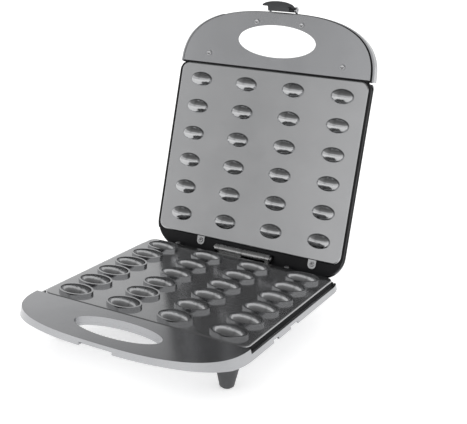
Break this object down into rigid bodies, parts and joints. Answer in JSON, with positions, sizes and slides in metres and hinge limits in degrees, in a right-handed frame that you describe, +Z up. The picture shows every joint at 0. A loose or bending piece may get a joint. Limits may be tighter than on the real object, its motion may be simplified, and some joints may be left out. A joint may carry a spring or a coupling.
{
  "type": "electric nut cookie maker",
  "caption": "Electric nut cookie maker standing open: silver housing with two slotted handles, lower plate of oval walnut-shell moulds, upper plate of matching bumps, hinged lid, swinging latch",
  "frame": {"origin": "under the middle of the bounding box, on the table", "axes": "+X to the right seen from the front, +Y to the back, +Z up; the handles point to -Y"},
  "size_m": [0.26, 0.3848, 0.3414],
  "materials": {
    "silver_plastic": "silver lacquered plastic",
    "black_plastic": "fine texture",
    "coated_plate": "grey non-stick coating on cast aluminium",
    "heater_sheath": "oxidised sheath",
    "steel": "zinc plated",
    "reflector_sheet": "mill finish",
    "dark_phenolic": "moulded",
    "black_rubber": "moulded",
    "grey_rubber": "moulded",
    "hinge_steel": "satin",
    "red_lens": "clear red",
    "green_lens": "clear green",
    "clear_glass": "clear",
    "latch_plastic": "fine texture"
  },
  "bodies": {
    "base": {"base_shell": "silver_plastic", "base_cover": "silver_plastic", "base_frame": "black_plastic", "lower_plate": "coated_plate", "lower_heater": "heater_sheath", "lower_heater_clamps": "steel", "lower_clamp_screws": "steel", "lower_reflector": "reflector_sheet", "lower_thermostat": "dark_phenolic", "thermal_fuse": "heater_sheath", "fuse_clip": "steel", "terminal_block": "dark_phenolic", "cord_gland": "black_rubber", "gland_nut": "black_plastic", "front_foot_left": "grey_rubber", "front_foot_right": "grey_rubber", "rear_foot_left": "grey_rubber", "rear_foot_right": "grey_rubber", "foot_screws": "steel", "lower_plate_screws": "steel", "base_hinge": "hinge_steel", "base_hinge_screws": "steel", "hinge_pin": "steel"},
    "lid": {"lid_shell": "silver_plastic", "lid_frame": "black_plastic", "lid_handle_cover": "silver_plastic", "lid_handle_screws": "steel", "upper_plate": "coated_plate", "upper_plate_screws": "steel", "upper_heater": "heater_sheath", "upper_heater_clamps": "steel", "upper_clamp_screws": "steel", "upper_reflector": "reflector_sheet", "upper_thermostat": "dark_phenolic", "lid_hinge": "hinge_steel", "lid_hinge_screws": "steel", "power_lens": "red_lens", "ready_lens": "green_lens", "power_lamp": "clear_glass", "ready_lamp": "clear_glass", "latch_pin": "steel"},
    "latch": {"latch": "latch_plastic"}
  },
  "joints": [
    {"name": "lid_hinge_joint", "type": "hinge", "parent": "base", "child": "lid", "pos_m": [0, 0.09538, 0.051], "axis": [-1, 0, 0], "range_deg": [-104, 0]},
    {"name": "latch_joint", "type": "hinge", "parent": "lid", "child": "latch", "pos_m": [0, 0.17254, 0.33157], "axis": [-1, 0, 0], "range_deg": [0, 100]}
  ]
}
